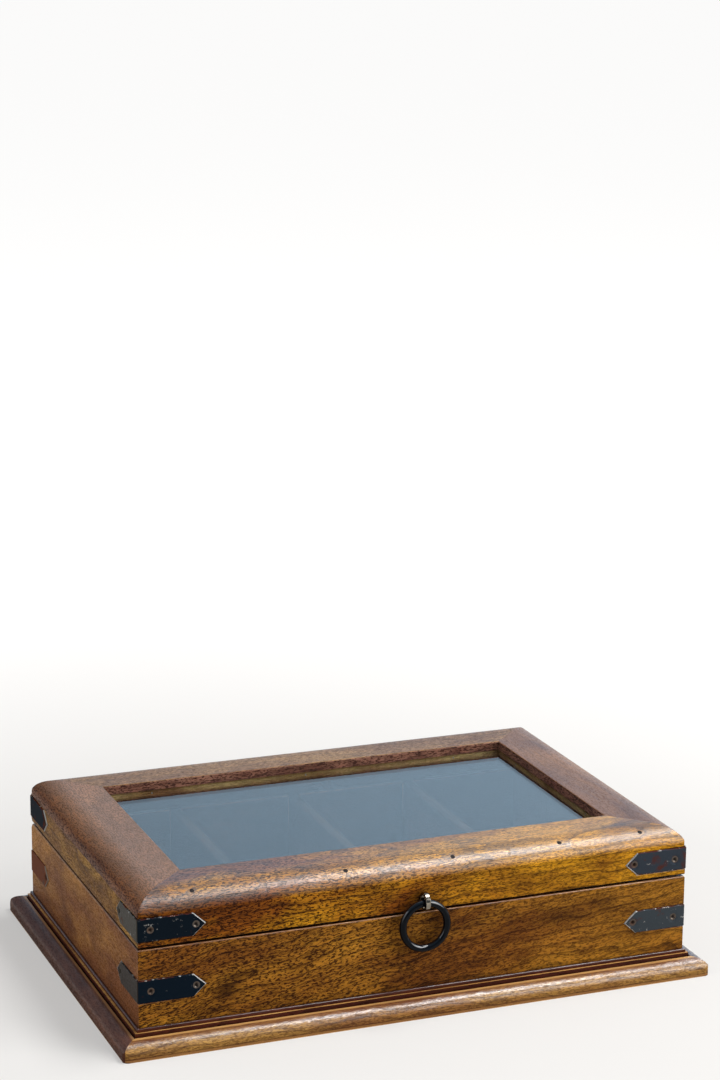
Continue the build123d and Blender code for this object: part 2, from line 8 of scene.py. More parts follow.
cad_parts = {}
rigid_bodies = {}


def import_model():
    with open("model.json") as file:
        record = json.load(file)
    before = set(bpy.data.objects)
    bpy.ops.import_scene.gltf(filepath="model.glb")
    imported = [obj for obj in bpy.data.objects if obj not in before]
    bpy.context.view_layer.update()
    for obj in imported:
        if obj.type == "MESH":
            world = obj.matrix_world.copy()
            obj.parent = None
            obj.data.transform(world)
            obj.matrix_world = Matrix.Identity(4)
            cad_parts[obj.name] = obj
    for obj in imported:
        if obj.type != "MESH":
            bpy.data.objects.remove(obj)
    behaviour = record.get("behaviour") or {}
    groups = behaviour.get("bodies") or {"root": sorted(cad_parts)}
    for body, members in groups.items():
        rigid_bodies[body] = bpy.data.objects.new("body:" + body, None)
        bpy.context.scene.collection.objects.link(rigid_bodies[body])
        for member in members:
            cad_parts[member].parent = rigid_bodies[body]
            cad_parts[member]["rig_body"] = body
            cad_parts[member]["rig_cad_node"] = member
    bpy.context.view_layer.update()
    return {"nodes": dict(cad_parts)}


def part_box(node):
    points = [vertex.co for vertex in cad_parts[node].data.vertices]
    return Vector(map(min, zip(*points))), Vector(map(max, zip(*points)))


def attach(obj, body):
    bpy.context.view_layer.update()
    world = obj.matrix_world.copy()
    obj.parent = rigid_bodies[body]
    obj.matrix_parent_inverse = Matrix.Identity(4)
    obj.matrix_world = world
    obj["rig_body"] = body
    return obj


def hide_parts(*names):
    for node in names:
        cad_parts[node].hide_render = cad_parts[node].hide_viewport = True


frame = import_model()

# Plinth: four lengths of moulding, mitred at the corners and screwed up into the walls.
# It is the same oiled hardwood as the box, run with a quarter round, a groove, a step and a thin top member.
# Its arrises are rubbed pale and painted paler as the highlight they catch, the groove's floor is painted
# near black as shade, the top member is dark maroon, and the upright faces by the groove are painted
# maroon as shade.
nodes = frame["nodes"]
MM = 0.001


def linear(colour):
    """An sRGB hex colour as the linear colour that a socket takes."""
    shares = [int(colour[i:i + 2], 16) / 255 for i in (1, 3, 5)]
    return [s / 12.92 if s <= 0.04045 else ((s + 0.055) / 1.055) ** 2.4 for s in shares] + [1.0]


def fill(tree, node, inputs):
    """Sets inputs of a node: each to a value, or linked from a socket or from a node's first output."""
    for key, value in inputs.items():
        if isinstance(value, bpy.types.Node):
            value = value.outputs[0]
        if isinstance(value, bpy.types.NodeSocket):
            tree.links.new(value, node.inputs[key])
        else:
            node.inputs[key].default_value = value


def add(tree, kind, inputs=None, **settings):
    """Adds a node with its settings and its inputs."""
    made = tree.nodes.new("ShaderNode" + kind)
    for key, value in settings.items():
        setattr(made, key, value)
    fill(tree, made, inputs or {})
    return made


def new_material(name):
    """A new material, with its node tree and its shader."""
    material = bpy.data.materials.new(name)
    material.use_nodes = True
    return material, material.node_tree, material.node_tree.nodes["Principled BSDF"]


def oiled_wood(
        name, light, brown, vein, stain="#5d2c12", turn=0, slope=0, log=(-30, 70, 10), shift=0, drift=(0, 0),
        pore=1.0, closing=1.0, streak=0.5, ring_mark=0.6, corner_shade=0.8, gloss=0.25, polish=1.0, flat=0.6,
        top=(0.0, "#f0bf78"), bands=(), patches=(), shine=0.12):
    """Dense brown hardwood, planed, stained and oiled: golden to brown clouds, reddish smoky patches, growth
    rings of the log that the board was sawn from, short dark pores, painted shade in corners and next to
    other parts, and a polish on what faces up. The grain runs along X, or along Y with a turn of 90
    degrees, and climbs by slope degrees.
    log moves the middle of the rings to the origin and shift takes another stretch of the log, both in mm.
    closing is the share of the pores left at the far end of the board, and drift makes a board paler along
    the grain and upward. flat is how level a face is before it takes the full polish, and top is how far,
    and to which tone, what faces up is painted as a paler sheen. bands are tones that begin between two
    heights, in mm, with a strength. patches are dark swirls round small knots: place along the grain,
    height, half length and half height in mm, and strength.
    The pores of the real wood are half as wide, and are drawn coarser so that they show."""
    cloud_size, smoke_size, mottle_size = 32.0, 48.0, 7.0
    ring_width, ring_stretch, line_width = 3.6, 0.2, 1.2
    pore_width, pore_depth = 0.6, 0.2
    wave_length, wave_height = 30.0, 7.0
    drift_length, drift_height, shade_reach = 140.0, 34.0, 8.0
    knot_raggedness, knot_edge, knot_core = 2.2, 2.2, 1.3
    wax_ior = 1.8
    material, tree, shader = new_material(name)
    place = add(tree, "TexCoord").outputs
    grain = add(tree, "Mapping", {
        "Vector": place["Object"], "Rotation": (0, 0, -math.radians(turn)),
        "Scale": (1 / MM, 1 / MM, 1 / MM)})
    climbing = add(tree, "Mapping", {
        "Vector": grain, "Rotation": (0, math.radians(slope), 0), "Location": (shift, 0, 0)})
    sway = add(tree, "TexNoise", {"Vector": climbing, "Scale": 1 / wave_length, "Detail": 1.0})
    swayed = add(tree, "VectorMath", {
        0: sway.outputs["Color"], 1: (0.5, 0.5, 0.5)}, operation="SUBTRACT")
    moved = add(tree, "VectorMath", {
        0: swayed, 1: (0, wave_height, wave_height), 2: climbing}, operation="MULTIPLY_ADD")
    figure = {}
    for layer, size, stretch, detail, wander in (
            ("clouds", cloud_size, 0.35, 5.0, 0.3), ("smoke", smoke_size, 0.45, 6.0, 0.9),
            ("mottle", mottle_size, 0.5, 3.0, 0.6), ("lines", line_width, 0.06, 3.0, 0.5),
            ("pores", pore_width, 0.3, 2.0, 0.3)):
        stretched = add(tree, "Mapping", {"Vector": moved, "Scale": (stretch, 1, 1)})
        figure[layer] = add(tree, "TexNoise", {
            "Vector": stretched, "Scale": 1 / size, "Detail": detail, "Roughness": 0.62,
            "Distortion": wander})
    along_and_up = add(tree, "SeparateXYZ", {"Vector": grain}).outputs
    spot = add(tree, "Mapping", {"Vector": grain, "Location": (0, 0, -drift_height)})
    paler = add(tree, "VectorMath", {
        0: spot, 1: (drift[0] / drift_length, 0, drift[1] / drift_length)}, operation="DOT_PRODUCT")
    drifted = add(tree, "Math", {0: figure["clouds"], 1: paler.outputs["Value"]}, operation="SUBTRACT")
    cloudy = add(tree, "MapRange", {"Value": drifted, "From Min": 0.39, "From Max": 0.61})
    sawn = add(tree, "Mapping", {"Vector": moved, "Location": (log[0] - shift, log[1], log[2])})
    drawn_out = add(tree, "Mapping", {"Vector": sawn, "Scale": (ring_stretch, 1, 1)})
    rings = add(tree, "TexWave", {
        "Vector": drawn_out, "Scale": math.pi / 10 / ring_width, "Distortion": 11.0, "Detail": 3.0,
        "Detail Scale": 0.5}, wave_type="RINGS", rings_direction="SPHERICAL", wave_profile="SAW")
    # Painted shade: the wood is darkened where little open air is around it, in corners and next to other
    # parts.
    open_air = add(tree, "AmbientOcclusion", {"Distance": shade_reach * MM}, samples=6)
    open_share = add(tree, "MapRange", {
        "Value": along_and_up["X"], "From Min": -0.4 * drift_length, "From Max": drift_length,
        "To Min": 1.0, "To Max": closing})
    pores = add(tree, "MapRange", {
        "Value": figure["pores"], "From Min": 0.49, "From Max": 0.56, "To Max": open_share})
    colour = add(tree, "MixRGB", {"Fac": cloudy, "Color1": linear(light), "Color2": linear(brown)})
    marks = [
        (figure["smoke"], 0.47, 0.66, 0.75, stain), (figure["mottle"], 0.45, 0.68, 0.1 + 0.2 * pore, vein),
        (rings.outputs["Fac"], 0.7, 1.0, ring_mark, vein), (figure["lines"], 0.5, 0.63, streak, vein),
        (open_air.outputs["AO"], 0.92, 0.4, corner_shade, vein), (pores, 0.0, 1.0, 0.9 * pore, vein)]
    for along, up, half_length, half_height, strength in patches:
        from_knot = add(tree, "Mapping", {"Vector": grain, "Location": (-along, 0, -up)})
        shares = add(tree, "VectorMath", {
            0: from_knot, 1: (1 / half_length, 0, 1 / half_height)}, operation="MULTIPLY")
        ring_out = add(tree, "VectorMath", {0: shares}, operation="LENGTH").outputs["Value"]
        ragged = add(tree, "Math", {
            0: figure["mottle"], 1: knot_raggedness, 2: ring_out}, operation="MULTIPLY_ADD")
        marks.append((ragged, knot_edge, knot_core, strength, vein))
    marks.extend((along_and_up["Z"], *band) for band in bands)
    for value, least, most, amount, tone in marks:
        share = add(tree, "MapRange", {
            "Value": value, "From Min": least, "From Max": most, "To Max": amount})
        colour = add(tree, "MixRGB", {"Fac": share, "Color1": colour, "Color2": linear(tone)})
    upward = add(tree, "SeparateXYZ", {"Vector": place["Normal"]}).outputs["Z"]
    # What faces up is painted toward the top tone, as a paler sheen on the flat tops.
    painted_top_sheen = add(tree, "MapRange", {"Value": upward, "From Min": 0.6, "To Max": top[0]})
    colour = add(tree, "MixRGB", {"Fac": painted_top_sheen, "Color1": colour, "Color2": linear(top[1])})
    rough = add(tree, "MapRange", {"Value": pores, "To Min": gloss + 0.15, "To Max": gloss + 0.35})
    broken = add(tree, "MapRange", {"Value": pores, "To Min": polish, "To Max": 0.75 * polish})
    polished = add(tree, "MapRange", {
        "Value": upward, "From Min": flat - 0.5, "From Max": flat, "To Max": broken})
    in_wood, in_wax = (
        add(tree, "Bump", {
            "Height": pores, "Strength": strength * pore, "Distance": pore_depth * MM}, invert=True)
        for strength in (0.7, 0.25))
    fill(tree, shader, {
        "Base Color": colour, "Roughness": rough, "Normal": in_wood, "Specular IOR Level": shine,
        "Coat Weight": polished, "Coat Roughness": gloss, "Coat IOR": wax_ior, "Coat Normal": in_wax})
    return material


PLAIN, EDGE_SLOT, PAINTED_SHADE, MAROON = range(4)
corner_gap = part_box("wall_front")[1].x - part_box("wall_left")[1].y


def softened(name, ease, material, tight=None, rubbed=None):
    """Stands for a CAD node with a merged copy of it, whose long arrises are eased by ease mm.
    The edges of its mitres stay sharp, and so do those at the height of a tight joint. rubbed, where given,
    is the finish of the eased arrises: on the plinth and the walls pale wood, rubbed and painted paler as a
    highlight, and on the skirt near-black wood, painted as shade."""
    shortest, same_place, same_point = 9.0, 0.02, 0.002
    flat_angle, sharp_angle, smooth_angle = math.radians(0.4), math.radians(35), math.radians(34)
    bpy.ops.object.select_all(action="DESELECT")
    nodes[name].select_set(True)
    bpy.context.view_layer.objects.active = nodes[name]
    bpy.ops.object.duplicate()
    piece = bpy.context.view_layer.objects.active
    piece.name = name + "_finished"
    del piece["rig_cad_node"]
    piece.data.materials.clear()
    piece.data.materials.append(material)
    piece.data.materials.append(rubbed or material)
    bpy.ops.object.mode_set(mode="EDIT")
    bpy.ops.mesh.select_all(action="SELECT")
    bpy.ops.mesh.customdata_custom_splitnormals_clear()
    bpy.ops.mesh.remove_doubles(threshold=same_point * MM)
    bpy.ops.mesh.dissolve_limited(angle_limit=flat_angle)
    bpy.ops.mesh.select_mode(type="EDGE")
    bpy.ops.mesh.select_all(action="DESELECT")
    edit = bmesh.from_edit_mesh(piece.data)
    for edge in edit.edges:
        ends = [corner.co for corner in edge.verts]
        sharp = edge.is_manifold and edge.calc_face_angle_signed() > sharp_angle
        in_mitre = all(abs(abs(p.x) - abs(p.y) - corner_gap) < same_place * MM for p in ends)
        in_joint = tight is not None and all(abs(p.z - tight) < same_place * MM for p in ends)
        edge.select = sharp and edge.calc_length() > shortest * MM and not in_mitre and not in_joint
    bmesh.update_edit_mesh(piece.data)
    bpy.ops.mesh.bevel(offset=ease * MM, segments=3, profile=0.5, clamp_overlap=False, material=EDGE_SLOT)
    bpy.ops.object.mode_set(mode="OBJECT")
    bpy.ops.object.shade_smooth_by_angle(angle=smooth_angle)
    weigh = piece.modifiers.new("flat_faces", "WEIGHTED_NORMAL")
    weigh.keep_sharp = True
    bpy.ops.object.modifier_apply(modifier=weigh.name)
    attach(piece, nodes[name]["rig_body"])
    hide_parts(name)
    return piece


def finish_node(name, material):
    """Keeps a CAD node whose shape is right, and gives it its finish."""
    for place in nodes[name].material_slots:
        place.material = material


# Tones by height on the front moulding, in mm, with a strength: maroon on the upper round, and pale above
# its lip as a painted highlight; low on the nose a dark band and a tan line, painted shade and a painted
# highlight, and a dark foot painted as shade by the floor.
painted_moulding_lines = (
    (6.6, 8.0, 0.55, "#6a3220"), (8.36, 8.5, 0.85, "#dca864"), (2.0, 1.7, 0.55, "#4a240f"),
    (1.4, 1.1, 0.5, "#b8834c"), (0.6, 0.2, 0.6, "#3a1c0e"))
plinth_woods = {
    "front": oiled_wood(
        "plinth_front_wood", "#c8974a", "#a87436", "#3a1a0b", stain="#84502a", log=(60, 130, 20), shift=310,
        pore=0.6, corner_shade=0.5, bands=painted_moulding_lines),
    "back": oiled_wood(
        "plinth_back_wood", "#b07a3c", "#85552a", "#351809", log=(0, -130, 30), shift=820, corner_shade=0.6),
    # Its pale band at the round's lip is a painted highlight.
    "left": oiled_wood(
        "plinth_left_wood", "#7b4e39", "#5a3626", "#26130c", stain="#4e2818", turn=90, log=(0, 180, 20),
        shift=130, pore=0.35, streak=0.3, ring_mark=0.2, corner_shade=0.5, polish=0.5,
        bands=((8.46, 8.56, 0.5, "#c89868"),), shine=0.04),
    "right": oiled_wood(
        "plinth_right_wood", "#92602f", "#6b4020", "#2b150a", turn=90, log=(0, -180, 20), shift=570,
        corner_shade=0.6),
}
# Pale wood for the plinth's eased arrises and the step's top: rubbed, and painted paler as the highlight
# they catch.
rubbed_and_highlit_line_wood = oiled_wood(
    "rubbed_and_highlit_line_wood", "#e2b067", "#cc9650", "#8a5a2e", pore=0.3, corner_shade=0.0, polish=0.3)
# Near-black wood, painted shade: for the floor of the plinth's groove and the skirt's lower arris along the
# seam.
painted_shade_wood = oiled_wood("painted_shade_wood", "#1d1007", "#140a05", "#080402", polish=0.0, shine=0.04)
# Dark maroon wood for the top member, and painted shade on the upright faces by the groove.
maroon_wood = oiled_wood("maroon_wood", "#5c2a1c", "#451a10", "#1f0a06", pore=0.3, corner_shade=0.3, gloss=0.2)
MOULDING_EASE, STEP_TOP, GROOVE_FLOOR, CLOSE_BY = 0.35, 10.3, 7.9, 0.05
LEVEL, NEARLY_LEVEL, NEARLY_UPRIGHT = 0.99, 0.9, 0.1
for side, wood in plinth_woods.items():
    moulding = softened("plinth_" + side, MOULDING_EASE, wood, rubbed=rubbed_and_highlit_line_wood)
    moulding.data.materials.append(painted_shade_wood)
    moulding.data.materials.append(maroon_wood)
    for face in moulding.data.polygons:
        height = face.center.z / MM
        if height > STEP_TOP + CLOSE_BY:
            face.material_index = MAROON
        # The step's level top takes the pale wood: rubbing, and a painted highlight.
        elif height > STEP_TOP - CLOSE_BY and face.normal.z > NEARLY_LEVEL:
            face.material_index = EDGE_SLOT
        # The upright faces by the groove are painted maroon as shade.
        elif height > GROOVE_FLOOR and abs(face.normal.z) < NEARLY_UPRIGHT:
            face.material_index = MAROON
        # The groove's floor is painted near black as shade.
        elif abs(height - GROOVE_FLOOR) < CLOSE_BY and face.normal.z > LEVEL:
            face.material_index = PAINTED_SHADE

# Plinth screws: ten slotted steel wood screws, sunk into the underside of the moulding.
# They were left as they came, dull zinc with a darker slot, and show only when the box is turned over.


def turned_steel(name, bare, dull, roughness):
    """Plain screw steel: bright where it is rubbed, and dull with handling in patches a few mm wide."""
    patch_size, scratch_width, scratch_depth = 2.0, 0.25, 0.05
    material, tree, shader = new_material(name)
    place = add(tree, "TexCoord").outputs["Object"]
    patches = add(tree, "TexNoise", {"Vector": place, "Scale": 1 / patch_size / MM, "Detail": 4.0})
    scratches = add(tree, "TexNoise", {"Vector": place, "Scale": 1 / scratch_width / MM, "Detail": 2.0})
    colour = add(tree, "MixRGB", {"Fac": patches, "Color1": linear(bare), "Color2": linear(dull)})
    rough = add(tree, "MapRange", {
        "Value": patches, "To Min": roughness - 0.12, "To Max": roughness + 0.15})
    bump = add(tree, "Bump", {"Height": scratches, "Strength": 0.15, "Distance": scratch_depth * MM})
    fill(tree, shader, {"Metallic": 1.0, "Base Color": colour, "Roughness": rough, "Normal": bump})
    return material


screw_steel = turned_steel("zinc_screw_steel", "#a9abad", "#6d6f70", 0.4)
finish_node("plinth_screws", screw_steel)

# Bottom panel: a thin sawn board dropped onto the plinth's inner ledge, left almost bare.
# Its underside shows the same hardwood, paler and duller than the oiled outside.
finish_node("floor_panel", oiled_wood(
    "bare_panel_wood", "#a5824f", "#85633a", "#523519", log=(0, 30, 60), shift=40, gloss=0.55, polish=0.2))

# Case walls: four boards, 12 mm thick, mitred at the corners and stood on the plinth.
# The front is flat-sawn and golden with brown clouds, and the left end is plainer and redder.
# Their eased arrises are rubbed and painted paler as the highlight they catch, most of all the front's
# rounded top arris below the seam, and their inner faces are stained dark, like the dividers.
inner_woods = {
    axis: oiled_wood(
        name, "#3a2415", "#2a190f", "#120a06", turn=turn, log=(0, 60, -10), shift=210, gloss=0.5, polish=0.2)
    for axis, name, turn in (("x", "stained_inner_wood_long", 0), ("y", "stained_inner_wood", 90))
}
inward = {
    "front": Vector((0, 1, 0)), "back": Vector((0, -1, 0)),
    "left": Vector((1, 0, 0)), "right": Vector((-1, 0, 0)),
}


def stain_inside(board, side):
    """Gives the inner face of a board on one side of the box the dark stain of the inside."""
    least_inward = 0.9
    board.data.materials.append(inner_woods["x" if side in ("front", "back") else "y"])
    for face in board.data.polygons:
        if face.normal.dot(inward[side]) > least_inward:
            face.material_index = len(board.data.materials) - 1


front_knots = (
    (-99, 25, 8, 8, 0.8), (-91, 32, 10, 3, 0.6), (-106, 16, 12, 3, 0.6), (74, 38, 15, 6, 0.5),
    (97, 42, 9, 4, 0.45), (112, 27, 18, 14, 0.3))
wall_woods = {
    "front": oiled_wood(
        "case_front_wood", "#bc8028", "#8a541c", "#220c03", stain="#552a10", slope=9, drift=(0.06, 0),
        closing=0.55, shine=0.06, patches=front_knots),
    "back": oiled_wood("case_back_wood", "#a5732c", "#76481c", "#2f1606", log=(40, -70, 10), shift=400),
    "left": oiled_wood(
        "case_left_wood", "#bb8240", "#84502a", "#32160a", stain="#6b3c20", turn=90, log=(30, 110, 20),
        shift=90, drift=(0.1, 0.5), pore=0.45, streak=0.2, ring_mark=0.2, shine=0.04),
    "right": oiled_wood(
        "case_right_wood", "#98672c", "#6d421e", "#2f170a", turn=90, log=(-30, -110, 20), shift=660,
        pore=0.8),
}
# Paler wood for the walls' eased arrises: rubbed, and painted paler as the highlight they catch.
rubbed_and_highlit_arris_wood = oiled_wood(
    "rubbed_and_highlit_arris_wood", "#cf9a68", "#b07a4c", "#6b3c22", pore=0.4, corner_shade=0.3, polish=0.6)
BOARD_EASE, ARRIS_REACH, ARRIS_STEEP, ARRIS_LEVEL = 0.4, 1.2, 0.5, 0.97
for side, wood in wall_woods.items():
    wall = softened("wall_" + side, BOARD_EASE, wood, rubbed=rubbed_and_highlit_arris_wood)
    arris_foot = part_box("wall_" + side)[1].z - ARRIS_REACH * MM
    # The front's rounded top arris, below the seam, takes the paler wood: rubbed, and a painted highlight.
    for face in wall.data.polygons:
        rounded = ARRIS_STEEP < face.normal.z < ARRIS_LEVEL
        if side == "front" and rounded and face.center.z > arris_foot:
            face.material_index = EDGE_SLOT
    stain_inside(wall, side)

# Dividers: three thin boards housed upright in the front and back walls, which make four compartments.
# Their top edges are rounded by sanding, and they have the dark stain of the inside.
DIVIDER_EASE = 1.2
for number in (1, 2, 3):
    softened(f"divider_{number}", DIVIDER_EASE, inner_woods["y"])

# Compartment linings: four pieces of black cotton velvet, cut to size and glued flat on the bottom panel.
# The pile lies in slightly different directions, so it shows soft lighter and darker patches.
PILE_THICKNESS, NAP_SWELL, NAP_LENGTH = 1.1, 0.3, 14
CELLS_ACROSS, CELLS_ALONG, LINING_SMOOTH = 24, 66, math.radians(40)
nap = bpy.data.textures.new("nap", "CLOUDS")
nap.noise_scale = NAP_LENGTH * MM


def cotton_velvet(name, pile, tips):
    """Short-pile cotton velvet: almost black, with patchy nap and paler pile tips at a low angle."""
    nap_patch, tuft_size, tuft_depth = 16.0, 0.6, 0.2
    material, tree, shader = new_material(name)
    place = add(tree, "TexCoord").outputs["Object"]
    patches = add(tree, "TexNoise", {"Vector": place, "Scale": 1 / nap_patch / MM, "Detail": 3.0})
    tufts = add(tree, "TexNoise", {"Vector": place, "Scale": 1 / tuft_size / MM, "Detail": 2.0})
    colour = add(tree, "MixRGB", {"Fac": patches, "Color1": linear(pile), "Color2": linear(tips)})
    bump = add(tree, "Bump", {"Height": tufts, "Strength": 0.6, "Distance": tuft_depth * MM})
    fill(tree, shader, {
        "Base Color": colour, "Roughness": 0.95, "Normal": bump, "Specular IOR Level": 0.2,
        "Sheen Weight": 0.5, "Sheen Roughness": 0.4})
    return material


velvet = cotton_velvet("black_cotton_velvet", "#0d0f13", "#1d2026")
for number in (1, 2, 3, 4):
    low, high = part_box(f"floor_lining_{number}")
    bpy.ops.object.select_all(action="DESELECT")
    bpy.ops.mesh.primitive_grid_add(x_subdivisions=CELLS_ACROSS, y_subdivisions=CELLS_ALONG, size=1)
    lining = bpy.context.view_layer.objects.active
    lining.name = f"velvet_lining_{number}"
    lining.scale = (high.x - low.x, high.y - low.y, 1)
    lining.location = ((low.x + high.x) / 2, (low.y + high.y) / 2, low.z + PILE_THICKNESS * MM)
    bpy.ops.object.transform_apply()
    swell = lining.modifiers.new("nap", "DISPLACE")
    swell.texture = nap
    swell.texture_coords = "LOCAL"
    swell.direction = "Z"
    swell.mid_level = 0.5
    swell.strength = NAP_SWELL * MM
    bpy.ops.object.modifier_apply(modifier=swell.name)
    thick = lining.modifiers.new("pile", "SOLIDIFY")
    thick.thickness = (PILE_THICKNESS - NAP_SWELL) * MM
    bpy.ops.object.modifier_apply(modifier=thick.name)
    bpy.ops.object.shade_smooth_by_angle(angle=LINING_SMOOTH)
    lining.data.materials.append(velvet)
    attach(lining, "case")
    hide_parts(f"floor_lining_{number}")

# Case straps: four bent strips of black iron with pointed ends, let into the corners and nailed.
# The blacking is rubbed through in spots and along the edges, and damp has raised rust in a few places.
STRAP_HALF_WIDTH, STRAP_SHOULDER, STRAP_LENGTH = 5.65, 26.8, 33.0
NAIL_NEAR, NAIL_FAR, DIMPLE_INNER, DIMPLE_OUTER = 6.0, 28.2, 0.5, 3.2


def blacked_iron(
        name, black, bare, rust, middle, rusty=0.6, gloss=0.34, shift=0, metal=0.95, pit=0.0, shine=0.05,
        worn_from=0.66, ends="#3a362f"):
    """Hand-blacked iron strip: blue-black with a waxed shine, bare steel where its pointed end is filed and
    where wear has gone through the blacking, dished and browned round each nail, and rusty in patches.
    Its legs on the ends of the box are dull, in the tone ends, which is a painted reflection, and its upper
    edges are brown with damp. middle is the height of the strip's middle line, and pit the radius of the
    painted shade in the hollow of each nail head, in mm."""
    wear_size, rust_size, scale_size, scale_depth = 2.2, 8.0, 0.8, 0.1
    edge_width, filed_blend, dimple_depth, pit_shade = 0.65, 1.0, 0.3, "#120d0b"
    corner_x, corner_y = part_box("wall_front")[1].x / MM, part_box("wall_left")[1].y / MM
    material, tree, shader = new_material(name)
    place = add(tree, "TexCoord").outputs
    iron = add(tree, "Mapping", {
        "Vector": place["Object"], "Scale": (1 / MM, 1 / MM, 1 / MM), "Location": (0, 0, -middle)})
    either_side = add(tree, "VectorMath", {0: iron}, operation="ABSOLUTE")
    spread = add(tree, "SeparateXYZ", {"Vector": either_side}).outputs
    reach_x = add(tree, "Math", {0: corner_x, 1: spread["X"]}, operation="SUBTRACT")
    reach_y = add(tree, "Math", {0: corner_y, 1: spread["Y"]}, operation="SUBTRACT")
    reach = add(tree, "Math", {0: reach_x, 1: reach_y}, operation="MAXIMUM")
    taper = add(tree, "MapRange", {
        "Value": reach, "From Min": STRAP_SHOULDER, "From Max": STRAP_LENGTH,
        "To Min": STRAP_HALF_WIDTH, "To Max": 0.0})
    inside = add(tree, "Math", {0: taper, 1: spread["Z"]}, operation="SUBTRACT")
    filed = add(tree, "MapRange", {
        "Value": reach, "From Min": STRAP_SHOULDER - filed_blend, "From Max": STRAP_SHOULDER + filed_blend,
        "To Min": 0.1, "To Max": 0.7})
    edge = add(tree, "MapRange", {
        "Value": inside, "From Min": edge_width, "From Max": 0.3 * edge_width, "To Max": filed})
    dimples = []
    for along, nail in ((reach_x, NAIL_NEAR), (reach, NAIL_FAR)):
        beside = add(tree, "Math", {0: along, 1: nail}, operation="SUBTRACT")
        apart = add(tree, "CombineXYZ", {"X": beside, "Y": spread["Z"]})
        dimples.append(add(tree, "VectorMath", {0: apart}, operation="LENGTH").outputs["Value"])
    from_nail = add(tree, "Math", {0: dimples[0], 1: dimples[1]}, operation="MINIMUM")
    dished = add(tree, "MapRange", {
        "Value": from_nail, "From Min": DIMPLE_INNER, "From Max": DIMPLE_OUTER},
        interpolation_type="SMOOTHSTEP")
    moved = add(tree, "Mapping", {"Vector": iron, "Location": (shift, 0, 0)})
    wear = add(tree, "TexNoise", {
        "Vector": moved, "Scale": 1 / wear_size, "Detail": 5.0, "Roughness": 0.65})
    rubbing = add(tree, "Math", {0: wear, 1: edge}, operation="ADD")
    worn = add(tree, "MapRange", {
        "Value": rubbing, "From Min": worn_from, "From Max": worn_from + 0.14},
        interpolation_type="SMOOTHSTEP")
    damp = add(tree, "TexNoise", {
        "Vector": moved, "Scale": 1 / rust_size, "Detail": 5.0, "Roughness": 0.6})
    near_nail = add(tree, "MapRange", {"Value": dished, "To Min": 0.1, "To Max": 0.0})
    turned = add(tree, "VectorMath", {0: place["Normal"]}, operation="ABSOLUTE")
    facing = add(tree, "SeparateXYZ", {"Vector": turned}).outputs
    # Painted reflection: the legs on the ends of the box take the dull tone ends and lose most of their
    # metal shine.
    on_end = add(tree, "MapRange", {"Value": facing["X"], "From Min": 0.6, "From Max": 0.8})
    on_edge = add(tree, "MapRange", {
        "Value": facing["Z"], "From Min": 0.5, "From Max": 0.8, "To Max": 0.25})
    dampest = add(tree, "Math", {0: near_nail, 1: on_edge}, operation="MAXIMUM")
    dampness = add(tree, "Math", {0: damp, 1: dampest}, operation="ADD")
    rusted = add(tree, "MapRange", {
        "Value": dampness, "From Min": rusty - 0.06, "From Max": rusty + 0.12, "To Max": 0.85},
        interpolation_type="SMOOTHSTEP")
    scale = add(tree, "TexNoise", {"Vector": moved, "Scale": 1 / scale_size, "Detail": 3.0})
    # Painted shade: the hollow middle of each nail head is darkened to near black.
    shaded_pit = add(tree, "MapRange", {
        "Value": from_nail, "From Min": 0.6 * pit, "From Max": 1.2 * pit, "To Min": 0.9, "To Max": 0.0})
    colour = linear(black)
    for share, tone in ((on_end, ends), (rusted, rust), (worn, bare), (shaded_pit, pit_shade)):
        colour = add(tree, "MixRGB", {"Fac": share, "Color1": colour, "Color2": linear(tone)})
    dulled = add(tree, "Math", {0: rusted, 1: on_end}, operation="MAXIMUM")
    metallic = add(tree, "MapRange", {"Value": dulled, "To Min": metal, "To Max": 0.05})
    crusted = add(tree, "Math", {0: rusted, 1: scale}, operation="ADD")
    rough = add(tree, "MapRange", {
        "Value": crusted, "From Min": 0.3, "From Max": 1.4, "To Min": gloss, "To Max": 0.75})
    bowl = add(tree, "Bump", {"Height": dished, "Strength": 0.3, "Distance": dimple_depth * MM})
    bump = add(tree, "Bump", {
        "Height": scale, "Strength": 0.2, "Distance": scale_depth * MM, "Normal": bowl})
    fill(tree, shader, {
        "Base Color": colour, "Metallic": metallic, "Roughness": rough, "Normal": bump,
        "Specular IOR Level": shine})
    return material


CASE_STRAP_MIDDLE, LID_STRAP_MIDDLE = 29.6, 59.8
nail_finish = {"black": "#5a524b", "bare": "#c4beb4", "rust": "#4d3022", "gloss": 0.25, "pit": 0.9}
case_strap_finishes = {
    "front_left": {"black": "#101a24", "bare": "#b9b7b2", "rusty": 0.7, "ends": "#2e2620"},
    "front_right": {"black": "#3b4146", "bare": "#cbc9c4", "shift": 50, "worn_from": 0.64},
    "back_left": {
        "black": "#33261f", "bare": "#8d8378", "rust": "#77452f", "rusty": 0.3, "shift": 20,
        "ends": "#2c1f19"},
    "back_right": {"black": "#1f252b", "bare": "#b9b7b2", "shift": 90},
}
for corner, finish in case_strap_finishes.items():
    finish_node("case_strap_" + corner, blacked_iron(
        "case_strap_iron_" + corner, middle=CASE_STRAP_MIDDLE, **{"rust": "#5b2a17", **finish}))
finish_node("case_strap_nails", blacked_iron("case_nail_iron", middle=CASE_STRAP_MIDDLE, **nail_finish))

